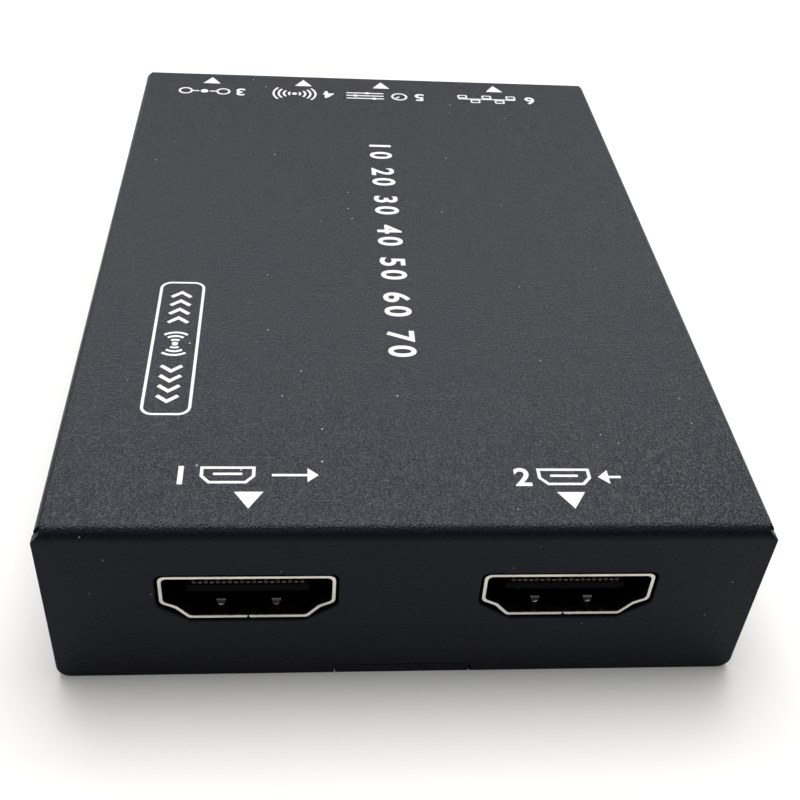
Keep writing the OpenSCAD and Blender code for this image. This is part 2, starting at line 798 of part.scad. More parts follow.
module service_tongue() {
    inner = rounded(grown(service_outline, -service_t - seat_gap), same(service_t, len(service_outline)));
    tongue = [0.52 * service_w, service_l - service_t, service_h / 4];
    color(black_plastic) translate([service_x, 0, service_z]) difference() {
        union() {
            along_y(socket_y - service_l, service_l / 4) polygon(inner);
            translate([-tongue.x / 2, socket_y - service_l, service_h / 8]) cube(tongue);
        }
        for (i = [0:4]) service_pin(i, seat_gap);
    }
}

module service_pin(i, extra) {
    t = service_t / 2;
    z = service_h / 8;
    path = bent([[socket_y - service_t - t, z], [socket_y - service_l - t, z],
        [socket_y - service_l - t, t / 2 - service_h / 2],
        [socket_y - service_l - 3 * service_t, t / 2 - service_h / 2]], t);
    translate([(i - 2) * pin_pitch, 0, 0])
        along_x(-service_t / 2 - extra, service_t + 2 * extra) polygon(ribbon(path, t + 2 * extra));
}

module service_contacts() {
    color(gold) translate([service_x, 0, service_z]) for (i = [0:4]) service_pin(i, 0);
}

// Parts on the board

module chip(size) {
    linear_extrude(size.z - chip_edge) square([size.x, size.y], center = true);
    translate([0, 0, size.z - chip_edge]) linear_extrude(chip_edge)
        square([size.x - 2 * chip_edge, size.y - 2 * chip_edge], center = true);
}

// A moulded chip with bent leads along both long sides
module leaded_chip(size, count, pitch) {
    body_low = lead_t;
    path = bent([[size.x / 2 - lead_t, size.z / 2], [size.x / 2 + lead_l / 3, size.z / 2],
        [size.x / 2 + lead_l / 3, lead_t / 2], [size.x / 2 + lead_l, lead_t / 2]], lead_t);
    translate([0, 0, body_low]) chip([size.x, size.y, size.z - body_low]);
    mirror_x() for (i = [0:count - 1]) translate([0, (i - (count - 1) / 2) * pitch, 0])
        along_y(-lead_w / 2, lead_w) polygon(ribbon(path, lead_t));
}

module main_processor() {
    color(black_plastic) translate(on_board(processor_share)) chip([processor_w, processor_w, processor_h]);
}

module thermal_pad() {
    pad_w = processor_w - 2 * chip_edge;
    color("#8fa3b8") translate(on_board(processor_share) + [0, 0, processor_h])
        round_block([pad_w, pad_w, pad_t], chip_edge);
}

module heat_sink() {
    fin_step = (sink_w - fin_t) / (fin_count - 1);
    color("#b9bcc0") translate(on_board(processor_share) + [-sink_w / 2, -sink_w / 2, processor_h + pad_t]) {
        cube([sink_w, sink_w, sink_floor]);
        for (i = [0:fin_count - 1]) translate([i * fin_step, 0, 0]) cube([fin_t, sink_w, sink_h]);
    }
}

module network_transformer() {
    color(black_plastic) translate([transformer_share * board_w / 2, transformer_y, board_top])
        leaded_chip(transformer_size, 8, lead_pitch);
}

module splitter_chip() {
    color(black_plastic) translate(on_board(splitter_share)) chip([splitter_w, splitter_w, splitter_h]);
}

module controller_chip() {
    color(black_plastic) translate(on_board(controller_share)) leaded_chip(controller_size, 5, lead_pitch);
}

module voltage_regulators() {
    color(black_plastic) for (s = regulator_shares) translate(on_board(s))
        leaded_chip(regulator_size, 4, lead_pitch);
}

module power_inductors() {
    color("#4a4a48") for (s = inductor_shares) translate(on_board(s)) {
        round_block([inductor_w, inductor_w, inductor_h / 4], inductor_w / 6);
        cylinder(h = inductor_h, r = inductor_w / 3);
        round_block([inductor_w, inductor_w, inductor_h / 4], inductor_w / 4, 3 * inductor_h / 4);
    }
}

module storage_capacitors() {
    r = can_d / 2;
    groove_z = can_foot_h + can_h / 6;
    rear = [for (s = rear_can_shares) [s * board_w / 2, can_y, board_top]];
    color("#c4c8cc") for (place = concat(rear, [on_board(side_can_share)])) translate(place) {
        round_block([can_d, can_d, can_foot_h], can_foot_h);
        rotate_extrude() polygon([[0, can_foot_h], [r - can_d / 20, can_foot_h],
            [r - can_d / 20, groove_z - can_d / 20], [r - can_d / 10, groove_z],
            [r - can_d / 20, groove_z + can_d / 20], [r - can_d / 20, can_h - can_d / 20],
            [r - can_d / 10, can_h], [0, can_h]]);
    }
}

module crystals() {
    color("#c9ccd0") for (s = crystal_shares) translate(on_board(s))
        round_block(crystal_size, crystal_size.z / 3);
}

module ceramic_parts() {
    color("#b89b72") for (s = ceramic_row_shares) translate(on_board(s))
        for (i = [0:ceramic_count - 1])
            translate([(i - (ceramic_count - 1) / 2) * ceramic_step, 0, ceramic_size.z / 2]) {
                cube([ceramic_size.x - 2 * ceramic_cap, ceramic_size.y, ceramic_size.z], center = true);
                for (e = [-1, 1]) translate([e * (ceramic_size.x - ceramic_cap) / 2, 0, 0])
                    cube([ceramic_cap, ceramic_size.y, ceramic_size.z], center = true);
            }
}

cover();
base_plate();
case_screws();
board_standoffs();
board_screws();
circuit_board();
video_shell(-video_pitch / 2);  // left_video_shell
video_insulator(-video_pitch / 2);  // left_video_insulator
video_contacts(-video_pitch / 2);  // left_video_contacts
video_shell(video_pitch / 2);  // right_video_shell
video_insulator(video_pitch / 2);  // right_video_insulator
video_contacts(video_pitch / 2);  // right_video_contacts
network_shield();
network_housing();
network_contacts();
network_light_pipes();
power_housing();
power_pin();
power_spring();
infrared_housing();
infrared_sleeve();
infrared_springs();
service_shell();
service_tongue();
service_contacts();
main_processor();
thermal_pad();
heat_sink();
network_transformer();
splitter_chip();
controller_chip();
voltage_regulators();
power_inductors();
storage_capacitors();
crystals();
ceramic_parts();
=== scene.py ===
"""Finishes, print and studio stage for a flat video extender box."""

import json
import math

import bmesh
import bpy
from bpy.props import FloatProperty, FloatVectorProperty, PointerProperty
from mathutils import Matrix, Vector


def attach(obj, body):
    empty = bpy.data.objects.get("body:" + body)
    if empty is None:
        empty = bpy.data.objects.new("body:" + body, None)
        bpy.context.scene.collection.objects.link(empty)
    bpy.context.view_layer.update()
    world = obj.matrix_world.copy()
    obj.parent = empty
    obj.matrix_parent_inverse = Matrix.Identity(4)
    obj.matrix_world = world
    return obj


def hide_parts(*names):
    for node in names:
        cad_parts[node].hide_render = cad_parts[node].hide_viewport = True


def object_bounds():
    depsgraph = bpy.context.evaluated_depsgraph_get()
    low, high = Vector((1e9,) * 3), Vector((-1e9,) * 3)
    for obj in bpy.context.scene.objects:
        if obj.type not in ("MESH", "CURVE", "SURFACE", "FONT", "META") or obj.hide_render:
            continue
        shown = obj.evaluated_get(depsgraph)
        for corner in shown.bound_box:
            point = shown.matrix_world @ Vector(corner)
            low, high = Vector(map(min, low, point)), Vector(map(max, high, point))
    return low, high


bl_info = {
    "name": "Video Extender Box",
    "version": (1, 0, 0),
    "blender": (4, 5, 0),
    "location": "View3D > Sidebar > Extender",
    "description": "Finishes, print and stage for a flat video extender box",
    "category": "Object",
}

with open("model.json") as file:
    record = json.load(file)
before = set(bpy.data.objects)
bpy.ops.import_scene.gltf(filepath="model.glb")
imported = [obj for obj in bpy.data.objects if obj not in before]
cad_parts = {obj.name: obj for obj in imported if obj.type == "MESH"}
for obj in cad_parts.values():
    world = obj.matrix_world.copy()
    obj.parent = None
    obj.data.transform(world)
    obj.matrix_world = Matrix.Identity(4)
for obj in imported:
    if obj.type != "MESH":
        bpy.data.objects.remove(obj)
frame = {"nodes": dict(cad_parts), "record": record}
CAD_BOX = [list(corner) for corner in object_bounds()]
NODES = frame["nodes"]

MM = 0.001
FRONT_Y = CAD_BOX[0][1]
REAR_Y = CAD_BOX[1][1]
TOP_Z = CAD_BOX[1][2]

# Welding distance, the angle under which neighbouring faces count as one flat face, and the
# angle over which an edge counts as sharp
WELD = 0.001 * MM
FLAT_ANGLE = math.radians(0.6)
SHARP_ANGLE = math.radians(28)

# Places where edges stay sharp: the cover's clipped corners, the ends of the notches, and the
# video shells behind their lips and beside their seams
CORNER = 2.4 * MM
NOTCH_REACH = 0.9 * MM
NOTCH_TOP = 1.3 * MM
LIP_REACH = 0.3 * MM
SEAM_REACH = 0.3 * MM

# How far the middles of the video sockets lie from the box's middle
VIDEO_X = 13.5 * MM

# The notches in the lower edges of the front and rear flanges: half their width, their height
# and the radius of their upper corners
NOTCH_X = 6.1 * MM
NOTCH_HEIGHT = 1.07 * MM
NOTCH_ROUND = 0.53 * MM

# Sizes of the print in millimetres: triangles, lines of the rounded frame and of the chevrons,
# row of numbers, and the digits beside the marks
MARK_HALF_HEIGHT = 0.97
FRAME_LINE = 0.27
CHEVRON_LINE = 0.4
SCALE_HEIGHT = 2.8
SCALE_LENGTH = 43.3
FRONT_DIGIT = 2.2
REAR_DIGIT = 2.1

# How much the strokes of the digits are thickened, as a share of their size
DIGIT_WEIGHT = 0.023

# Distances in from the front and rear faces between which painted shade darkens the insides of the
# sockets
LIT_DEPTH = 0.45 * MM
DARK_DEPTH = 1.1 * MM

# The painted shade line around the notches, for the gap around the tab: its even half, its faded
# edge, and how deep it reaches
LINE_CORE = 0.06 * MM
LINE_FADE = 0.14 * MM
LINE_DEPTH = 1.2 * MM
LINE_END = 1.6 * MM

BLACK = (0.0, 0.0, 0.0, 1)
WHITE = (1, 1, 1, 1)

# The photograph's camera, in pixels and millimetres
PHOTO_PX = 800
FOCAL_PX = 1132.5
SENSOR_MM = 36
CAMERA_MM = (-9.47, -105.61, 83.43)
CAMERA_RIGHT = (0.9959, -0.0648, 0.0626)
CAMERA_FORWARD = (0.0899, 0.7666, -0.6359)
NEAR_CLIP = 5 * MM

# Half the side of the floor, the distances between which it fades to white, both in metres, and
# its colour in reflections, darker than its own as painted shade; nearer than the first distance
# it keeps a faint glow, painted light that lifts its shade
FLOOR_HALF = 1.5
FLOOR_NEAR = 0.2
FLOOR_FAR = 0.6
FLOOR_REFLECTED_SHADE = (0.66, 0.665, 0.68, 1)

# Strength of the sky where it lights rough surfaces
SKY_SHARE = 0.68

# Lamps: place and sides in metres, and watts
HIGH_SOFTBOX = ((0.0, 0.1, 0.5), (0.36, 0.3), 2.4)
REAR_SOFTBOX = ((0.0, 0.37, 0.5), (0.9, 0.3), 8.4)


# Sizes and colours that a user would change


def size(name, description, millimetres):
    return FloatProperty(
        name=name, description=description, default=millimetres * MM,
        min=0, unit="LENGTH", precision=5,
    )


def colour(name, description, value):
    return FloatVectorProperty(
        name=name, description=description, default=value,
        size=3, min=0, max=1, subtype="COLOR",
    )


class ExtenderSizes(bpy.types.PropertyGroup):
    """Sizes of the edges, the grain and the print"""

    sheet_edge: size("Sheet edge", "Radius of the coated sheet's edges", 0.14)
    shell_edge: size("Shell edge", "Radius of the rear shells' edges", 0.07)
    seam_edge: size("Seam edge", "Radius of the video shells' edges, under half their seam", 0.035)
    moulded_edge: size("Moulded edge", "Radius of the moulded parts' edges", 0.05)
    grain: size("Grain", "Size of one grain of the powder coat", 0.17)
    ink_thickness: size("Ink thickness", "How far the print stands on the top", 0.012)
    ink_line: size("Ink line", "Width of the print's lines", 0.28)


class ExtenderColours(bpy.types.PropertyGroup):
    """Colours of the finishes"""

    coat: colour("Coat", "Powder coat of the case", (0.0068, 0.0078, 0.0124))
    ink: colour("Ink", "Print on the top", (0.77, 0.77, 0.765))
    nickel: colour("Nickel", "Plated socket shells", (0.842, 0.79, 0.689))
    zinc: colour("Zinc", "Plated screws and standoffs", (0.56, 0.565, 0.58))
    gold: colour("Gold", "Plated contacts", (0.54, 0.45, 0.35))
    moulding: colour("Moulding", "Socket mouldings", (0.011, 0.011, 0.015))
    laminate: colour("Laminate", "Circuit board", (0.012, 0.014, 0.016))
    floor: colour("Floor", "Floor", (0.87, 0.86, 0.84))


def sizes():
    return bpy.context.scene.extender_sizes


def colours():
    return bpy.context.scene.extender_colours


# Shader nodes


class Graph:
    """Puts nodes in one tree and joins them."""

    def __init__(self, tree):
        self.tree = tree

    def node(self, kind, inputs=None, **settings):
        """A new node; each input is given a value or joined to a socket."""
        made = self.tree.nodes.new("ShaderNode" + kind)
        for key, value in settings.items():
            setattr(made, key, value)
        for key, value in (inputs or {}).items():
            if isinstance(value, bpy.types.NodeSocket):
                self.tree.links.new(value, made.inputs[key])
            else:
                made.inputs[key].default_value = value
        return made

    def group(self, tree, inputs):
        """The outputs of a node group placed in this tree."""
        return self.node("Group", inputs, node_tree=tree).outputs

    def math(self, operation, first, second=0.0):
        return self.node("Math", {0: first, 1: second}, operation=operation).outputs[0]

    def product(self, *factors):
        value = factors[0]
        for factor in factors[1:]:
            value = self.math("MULTIPLY", value, factor)
        return value

    def mix(self, factor, first, second):
        """A colour between the first and the second."""
        return self.node("Mix", {0: factor, 6: first, 7: second}, data_type="RGBA").outputs[2]

    def ramp(self, value, low, high, to_low, to_high):
        """Runs from one number to another while the value runs from low to high."""
        return self.node("MapRange", {
            "Value": value, "From Min": low, "From Max": high,
            "To Min": to_low, "To Max": to_high,
        }).outputs[0]


def shader_group(name, inputs, outputs, fill):
    """Makes a node group once: fill gets its graph and input sockets, and returns its outputs."""
    if name in bpy.data.node_groups:
        return bpy.data.node_groups[name]
    tree = bpy.data.node_groups.new(name, "ShaderNodeTree")
    for label, kind, value in inputs:
        socket = tree.interface.new_socket(label, in_out="INPUT", socket_type="NodeSocket" + kind)
        socket.default_value = value
    for label, kind in outputs:
        tree.interface.new_socket(label, in_out="OUTPUT", socket_type="NodeSocket" + kind)
    graph = Graph(tree)
    entry = tree.nodes.new("NodeGroupInput")
    leave = tree.nodes.new("NodeGroupOutput")
    for label, socket in fill(graph, entry.outputs).items():
        tree.links.new(socket, leave.inputs[label])
    return tree


def fill_sand(graph, given):
    """Rounded grains of two sizes, and the height of each."""
    place = graph.node("TexCoord").outputs["Object"]
    scale = graph.math("DIVIDE", 1.0, given["Grain"])
    fine = graph.node("TexNoise", {
        "Vector": place, "Scale": scale, "Detail": 2.0, "Roughness": 0.55,
    })
    cells = graph.node("TexVoronoi", {"Vector": place, "Scale": scale, "Randomness": 1.0})
    grains = graph.ramp(cells.outputs["Distance"], 0.1, 0.75, 1.0, 0.0)
    fine_part = graph.product(fine.outputs["Fac"], 0.45)
    height = graph.math("ADD", fine_part, graph.product(grains, 0.55))
    peaks = graph.ramp(height, 0.46, 0.7, 0.0, 1.0)
    return {"Height": height, "Peaks": peaks}


def sand_group():
    return shader_group(
        "Sandy grain",
        [("Grain", "Float", 0.2 * MM)],
        [("Height", "Float"), ("Peaks", "Float")],
        fill_sand,
    )


def fill_cloud(graph, given):
    """A soft change between two colours and between two numbers."""
    place = graph.node("TexCoord").outputs["Object"]
    scale = graph.math("DIVIDE", 1.0, given["Patch"])
    noise = graph.node("TexNoise", {
        "Vector": place, "Scale": scale, "Detail": 3.0, "Roughness": 0.6,
    })
    mask = graph.ramp(noise.outputs["Fac"], 0.32, 0.68, 0.0, 1.0)
    tint = graph.mix(mask, given["Colour"], given["Other colour"])
    value = graph.ramp(mask, 0.0, 1.0, given["Low"], given["High"])
    return {"Colour": tint, "Value": value}


def cloud_group():
    grey = (0.5, 0.5, 0.5, 1)
    return shader_group(
        "Cloud",
        [("Patch", "Float", 4 * MM), ("Colour", "Color", grey), ("Other colour", "Color", grey),
         ("Low", "Float", 0.3), ("High", "Float", 0.5)],
        [("Colour", "Color"), ("Value", "Float")],
        fill_cloud,
    )


def fill_dust(graph, given):
    """Rare small specks, in few of the cells of a cell pattern."""
    place = graph.node("TexCoord").outputs["Object"]
    scale = graph.math("DIVIDE", 1.0, given["Spacing"])
    cells = graph.node("TexVoronoi", {"Vector": place, "Scale": scale, "Randomness": 1.0})
    reach = graph.math("DIVIDE", given["Speck"], given["Spacing"])
    near = graph.math("LESS_THAN", cells.outputs["Distance"], reach)
    parts = graph.node("SeparateColor", {"Color": cells.outputs["Color"]})
    chosen = graph.math("GREATER_THAN", parts.outputs[0], 0.72)
    return {"Mask": graph.product(near, chosen)}


def dust_group():
    return shader_group(
        "Dust",
        [("Spacing", "Float", 4 * MM), ("Speck", "Float", 0.07 * MM)],
        [("Mask", "Float")],
        fill_dust,
    )


def fill_brushed(graph, given):
    """Fine parallel lines along one direction."""
    place = graph.node("TexCoord").outputs["Object"]
    stretched = graph.node("Mapping", {"Vector": place, "Scale": given["Stretch"]})
    scale = graph.math("DIVIDE", 1.0, given["Line"])
    noise = graph.node("TexNoise", {
        "Vector": stretched.outputs[0], "Scale": scale, "Detail": 2.0, "Roughness": 0.7,
    })
    value = graph.ramp(noise.outputs["Fac"], 0.3, 0.7, given["Low"], given["High"])
    return {"Height": noise.outputs["Fac"], "Value": value}


def brushed_group():
    return shader_group(
        "Brushed lines",
        [("Line", "Float", 0.05 * MM), ("Stretch", "Vector", (1, 0.04, 1)),
         ("Low", "Float", 0.2), ("High", "Float", 0.4)],
        [("Height", "Float"), ("Value", "Float")],
        fill_brushed,
    )


def rgba(value, factor=1.0):
    """A colour times a factor, with its alpha."""
    return (value[0] * factor, value[1] * factor, value[2] * factor, 1.0)


def new_material(name):
    """A material, the graph of its nodes and its shader."""
    material = bpy.data.materials.new(name)
    material.use_nodes = True
    graph = Graph(material.node_tree)
    shader = material.node_tree.nodes["Principled BSDF"]
    return material, graph, shader


def join(graph, shader, **sockets):
    """Joins sockets to the shader's inputs, named with a low line in place of each space."""
    for label, socket in sockets.items():
        graph.tree.links.new(socket, shader.inputs[label.replace("_", " ")])


def bump(graph, height, depth_mm, strength=1.0):
    """Normals that follow a height of so many millimetres."""
    made = graph.node("Bump", {"Height": height, "Distance": depth_mm * MM, "Strength": strength})
    return made.outputs["Normal"]


def powder_coat():
    """Black powder coat: sandy grain with painted sheen on its peaks, a faint cloud of tone, a few
    specks of dust, and painted shade along the notches.
    """
    material, graph, shader = new_material("powder_coat")
    sand = graph.group(sand_group(), {"Grain": sizes().grain})
    cloud = graph.group(cloud_group(), {
        "Patch": 14 * MM, "Colour": rgba(colours().coat, 0.95),
        "Other colour": rgba(colours().coat, 1.05), "Low": 0.27, "High": 0.31,
    })
    dust = graph.group(dust_group(), {"Spacing": 1.75 * MM, "Speck": 0.09 * MM})
    # Painted sheen: the grain's peaks are tinted lighter, most on faces that look up, where the
    # top catches the light; the sides also get a weaker bump and fainter dust specks
    facing = graph.node("SeparateXYZ", {"Vector": graph.node("TexCoord").outputs["Normal"]})
    grain_and_sheen_by_facing = graph.ramp(facing.outputs["Z"], 0.3, 0.8, 0.55, 1.0)
    peaks = graph.mix(
        graph.product(sand["Peaks"], 0.45, grain_and_sheen_by_facing), cloud["Colour"], rgba(colours().coat, 2.6))
    specks = graph.product(dust["Mask"], 0.8, graph.product(grain_and_sheen_by_facing, grain_and_sheen_by_facing))
    dust_and_sheen = graph.mix(specks, peaks, (0.6, 0.6, 0.58, 1))
    # Painted shade: along the outline of the notches the coat turns almost black and fully rough,
    # for the gap around the tab
    line = graph.group(painted_notch_shade_group(), {})
    tone = graph.mix(line["Mask"], dust_and_sheen, (0.0005, 0.0005, 0.0006, 1))
    join(graph, shader, Base_Color=tone,
         Roughness=graph.math("MAXIMUM", cloud["Value"], line["Mask"]),
         Normal=bump(graph, graph.product(sand["Height"], grain_and_sheen_by_facing), 0.055))
    shader.inputs["Specular IOR Level"].default_value = 0.11
    shader.inputs["Specular Tint"].default_value = (0.92, 0.955, 1.0, 1)
    return material


def blackened_steel():
    """Dark steel of the screws, with fine drawn lines."""
    material, graph, shader = new_material("black_screw")
    brushed = graph.group(brushed_group(), {
        "Line": 0.08 * MM, "Stretch": (1, 1, 0.3), "Low": 0.3, "High": 0.45,
    })
    cloud = graph.group(cloud_group(), {
        "Patch": 1.5 * MM, "Colour": (0.02, 0.02, 0.022, 1),
        "Other colour": (0.035, 0.034, 0.036, 1),
    })
    join(graph, shader, Base_Color=cloud["Colour"], Roughness=brushed["Value"],
         Normal=bump(graph, brushed["Height"], 0.006))
    shader.inputs["Metallic"].default_value = 0.6
    return material


def fill_painted_socket_shade(graph, given):
    """Painted shade in the sockets: one near the front and rear faces of the box, falling to a
    lower number inside.
    """
    aim = graph.node("SeparateXYZ", {"Vector": graph.node("TexCoord").outputs["Object"]})
    away = graph.math("ABSOLUTE", aim.outputs["Y"])
    value = graph.ramp(away, REAR_Y - DARK_DEPTH, REAR_Y - LIT_DEPTH, given["Inside"], 1.0)
    return {"Value": value}


def fill_painted_notch_shade(graph, _given):
    """One along the outline of the notches, where shade is painted for the gap around the tab."""
    aim = graph.node("SeparateXYZ", {"Vector": graph.node("TexCoord").outputs["Object"]})
    aside = graph.math("SUBTRACT", graph.math("ABSOLUTE", aim.outputs["X"]), NOTCH_X - NOTCH_ROUND)
    above = graph.math("SUBTRACT", aim.outputs["Z"], NOTCH_HEIGHT - NOTCH_ROUND)
    round_end = graph.node("CombineXYZ", {
        "X": graph.math("MAXIMUM", aside), "Y": graph.math("MAXIMUM", above),
    })
    outside = graph.node("VectorMath", {0: round_end.outputs["Vector"]}, operation="LENGTH")
    inside = graph.math("MINIMUM", graph.math("MAXIMUM", aside, above))
    away = graph.math("SUBTRACT", graph.math("ADD", outside.outputs["Value"], inside), NOTCH_ROUND)
    line = graph.ramp(graph.math("ABSOLUTE", away), LINE_CORE, LINE_FADE, 1.0, 0.0)
    along = graph.math("ABSOLUTE", aim.outputs["Y"])
    near_face = graph.ramp(along, REAR_Y - LINE_END, REAR_Y - LINE_DEPTH, 0.0, 1.0)
    return {"Mask": graph.product(line, near_face)}


def painted_notch_shade_group():
    return shader_group("Painted notch shade", [], [("Mask", "Float")], fill_painted_notch_shade)


def painted_socket_shade_group():
    return shader_group("Depth", [("Inside", "Float", 0.5)], [("Value", "Float")], fill_painted_socket_shade)


def plated(name, tone, line_mm, stretch, rough, depth_mm, inside=1.0):
    """Plated metal: a cloud of tone and fine drawn lines, with painted shade inside the sockets.
    """
    material, graph, shader = new_material(name)
    brushed = graph.group(brushed_group(), {
        "Line": line_mm * MM, "Stretch": stretch, "Low": rough[0], "High": rough[1],
    })
    cloud = graph.group(cloud_group(), {
        "Patch": 2.5 * MM, "Colour": rgba(tone, 0.8), "Other colour": rgba(tone),
    })
    depth = graph.group(painted_socket_shade_group(), {"Inside": inside})
    # Painted shade: the colour falls towards black deep inside the sockets
    shaded = graph.mix(depth["Value"], BLACK, cloud["Colour"])
    join(graph, shader, Base_Color=shaded, Roughness=brushed["Value"],
         Normal=bump(graph, brushed["Height"], depth_mm))
    shader.inputs["Metallic"].default_value = 1.0
    return material


def moulded(name, tone, other, grain_mm, rough, depth_mm=0.008, specular=0.5, inside=1.0):
    """Plastic, rubber, ferrite or ceramic: fine grain and a cloud, with painted shade inside the
    sockets.
    """
    material, graph, shader = new_material(name)
    sand = graph.group(sand_group(), {"Grain": grain_mm * MM})
    cloud = graph.group(cloud_group(), {
        "Patch": 3 * MM, "Colour": rgba(tone), "Other colour": rgba(other),
        "Low": rough[0], "High": rough[1],
    })
    depth = graph.group(painted_socket_shade_group(), {"Inside": inside})
    # Painted shade: the colour falls towards black deep inside the sockets
    shaded = graph.mix(depth["Value"], BLACK, cloud["Colour"])
    join(graph, shader, Base_Color=shaded, Roughness=cloud["Value"],
         Normal=bump(graph, sand["Height"], depth_mm))
    shader.inputs["Specular IOR Level"].default_value = specular
    return material


def laminate():
    """Solder mask over copper tracks that run in straight lanes."""
    material, graph, shader = new_material("board_laminate")
    place = graph.node("TexCoord").outputs["Object"]
    tracks = graph.node("TexBrick", {
        "Vector": place, "Scale": 1.0, "Mortar Size": 0.12 * MM, "Mortar Smooth": 0.1,
        "Brick Width": 7.5 * MM, "Row Height": 1.1 * MM,
        "Color1": BLACK, "Color2": BLACK, "Mortar": WHITE,
    })
    cloud = graph.group(cloud_group(), {
        "Patch": 6 * MM, "Colour": rgba(colours().laminate, 0.8),
        "Other colour": rgba(colours().laminate), "Low": 0.24, "High": 0.36,
    })
    lit = graph.product(tracks.outputs["Fac"], 0.6)
    tone = graph.mix(lit, cloud["Colour"], rgba(colours().laminate, 2.2))
    join(graph, shader, Base_Color=tone, Roughness=cloud["Value"],
         Normal=bump(graph, tracks.outputs["Fac"], 0.02))
    return material


def milky_plastic():
    """Clouded plastic that lets some light through."""
    material, graph, shader = new_material("light_pipe")
    cloud = graph.group(cloud_group(), {
        "Patch": 2 * MM, "Colour": (0.5, 0.57, 0.36, 1), "Other colour": (0.6, 0.66, 0.45, 1),
        "Low": 0.16, "High": 0.26,
    })
    join(graph, shader, Base_Color=cloud["Colour"], Roughness=cloud["Value"])
    shader.inputs["Transmission Weight"].default_value = 0.35
    return material


def white_ink():
    """Printed ink that takes the grain of the coat under it."""
    material, graph, shader = new_material("white_ink")
    sand = graph.group(sand_group(), {"Grain": sizes().grain})
    cloud = graph.group(cloud_group(), {
        "Patch": 1.2 * MM, "Colour": rgba(colours().ink, 0.93),
        "Other colour": rgba(colours().ink), "Low": 0.42, "High": 0.52,
    })
    join(graph, shader, Base_Color=cloud["Colour"], Roughness=cloud["Value"],
         Normal=bump(graph, sand["Height"], 0.02, 0.6))
    return material


MAKERS = {
    "powder_coat": powder_coat,
    "black_screw": blackened_steel,
    "nickel_plate": lambda: plated(
        "nickel_plate", colours().nickel, 0.12, (1, 0.5, 1), (0.14, 0.24), 0.002, inside=0.4),
    "zinc_steel": lambda: plated(
        "zinc_steel", colours().zinc, 0.08, (1, 1, 0.1), (0.28, 0.45), 0.005),
    "gold_contact": lambda: plated(
        "gold_contact", colours().gold, 0.04, (1, 0.08, 1), (0.3, 0.42), 0.002, inside=0.36),
    "black_moulding": lambda: moulded(
        "black_moulding", colours().moulding, (0.015, 0.015, 0.019), 0.09, (0.5, 0.6),
        specular=0.03, inside=0.3),
    "chip_moulding": lambda: moulded(
        "chip_moulding", (0.018, 0.018, 0.02), (0.028, 0.028, 0.03), 0.12, (0.6, 0.75)),
    "board_laminate": laminate,
    "light_pipe": milky_plastic,
    "sink_aluminium": lambda: plated(
        "sink_aluminium", (0.68, 0.69, 0.7), 0.1, (1, 0.05, 1), (0.3, 0.45), 0.008),
    "pad_silicone": lambda: moulded(
        "pad_silicone", (0.26, 0.34, 0.45), (0.3, 0.38, 0.49), 0.2, (0.6, 0.75)),
    "can_aluminium": lambda: plated(
        "can_aluminium", (0.74, 0.75, 0.76), 0.08, (1, 1, 0.06), (0.2, 0.34), 0.004),
    "ferrite": lambda: moulded(
        "ferrite", (0.05, 0.05, 0.052), (0.08, 0.078, 0.075), 0.25, (0.62, 0.8), 0.02),
    "ceramic_body": lambda: moulded(
        "ceramic_body", (0.42, 0.3, 0.18), (0.55, 0.46, 0.34), 0.1, (0.3, 0.45)),
    "white_ink": white_ink,
}


def finish(name):
    """The material of that finish, made when it is first asked for."""
    if name not in bpy.data.materials or "made_here" not in bpy.data.materials[name]:
        if name in bpy.data.materials:
            bpy.data.materials[name].name = name + "_plain"
        material = MAKERS[name]()
        material.name = name
        material["made_here"] = True
    return bpy.data.materials[name]


# Pieces


def dress(node, slot):
    """Gives a CAD node its finish."""
    piece = NODES[node]
    for held in piece.material_slots:
        held.material = finish(slot)
    return piece


def new_piece(name, mesh, material):
    """Adds a piece that rides on the root body and finish."""
    piece = bpy.data.objects.new(name, mesh)
    bpy.context.scene.collection.objects.link(piece)
    mesh.materials.clear()
    mesh.materials.append(finish(material))
    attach(piece, "root")
    return piece


def softened(node, name, slot, radius, spared=None):
    """A copy of a CAD node whose sharp edges are rounded, shown in its place.

    An edge stays sharp where spared is true at both its ends."""
    work = bmesh.new()
    work.from_mesh(NODES[node].data)
    bmesh.ops.remove_doubles(work, verts=work.verts, dist=WELD)
    bmesh.ops.dissolve_limit(work, angle_limit=FLAT_ANGLE, verts=work.verts, edges=work.edges)
    rounded = work.edges.layers.float.new("bevel_weight_edge")
    for edge in work.edges:
        kept = spared is not None and all(spared(vertex.co) for vertex in edge.verts)
        if not kept and edge.calc_face_angle(0) > SHARP_ANGLE:
            edge[rounded] = 1
    mesh = bpy.data.meshes.new(name)
    work.to_mesh(mesh)
    work.free()
    mesh.shade_smooth()
    mesh.set_sharp_from_angle(angle=SHARP_ANGLE)
    piece = new_piece(name, mesh, slot)
    edge = piece.modifiers.new("Rounded edges", "BEVEL")
    edge.width = radius
    edge.segments = 3
    edge.limit_method = "WEIGHT"
    edge.use_clamp_overlap = False
    even = piece.modifiers.new("Even shading", "WEIGHTED_NORMAL")
    even.mode = "FACE_AREA"
    even.weight = 80
    even.keep_sharp = True
    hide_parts(node)
    return piece


def at_notch(point):
    """True at both ends of the notches, where the tabs leave only a hair-thin gap."""
    return abs(abs(point.x) - NOTCH_X) < NOTCH_REACH and point.z < NOTCH_TOP


def in_corner_or_notch(point):
    """True in the cover's clipped upper corners, too small to round, and at the notches."""
    upper = abs(point.y) > REAR_Y - CORNER and point.z > TOP_Z - CORNER
    return upper and abs(point.x) > CAD_BOX[1][0] - CORNER or at_notch(point)


def behind_lip(point):
    """True behind the video sockets' lips, and beside their seams."""
    middle = abs(abs(point.x) - VIDEO_X)
    return point.y > FRONT_Y + LIP_REACH or middle < SEAM_REACH


# Print: flat shapes drawn to the right and up from a place of their own, in millimetres


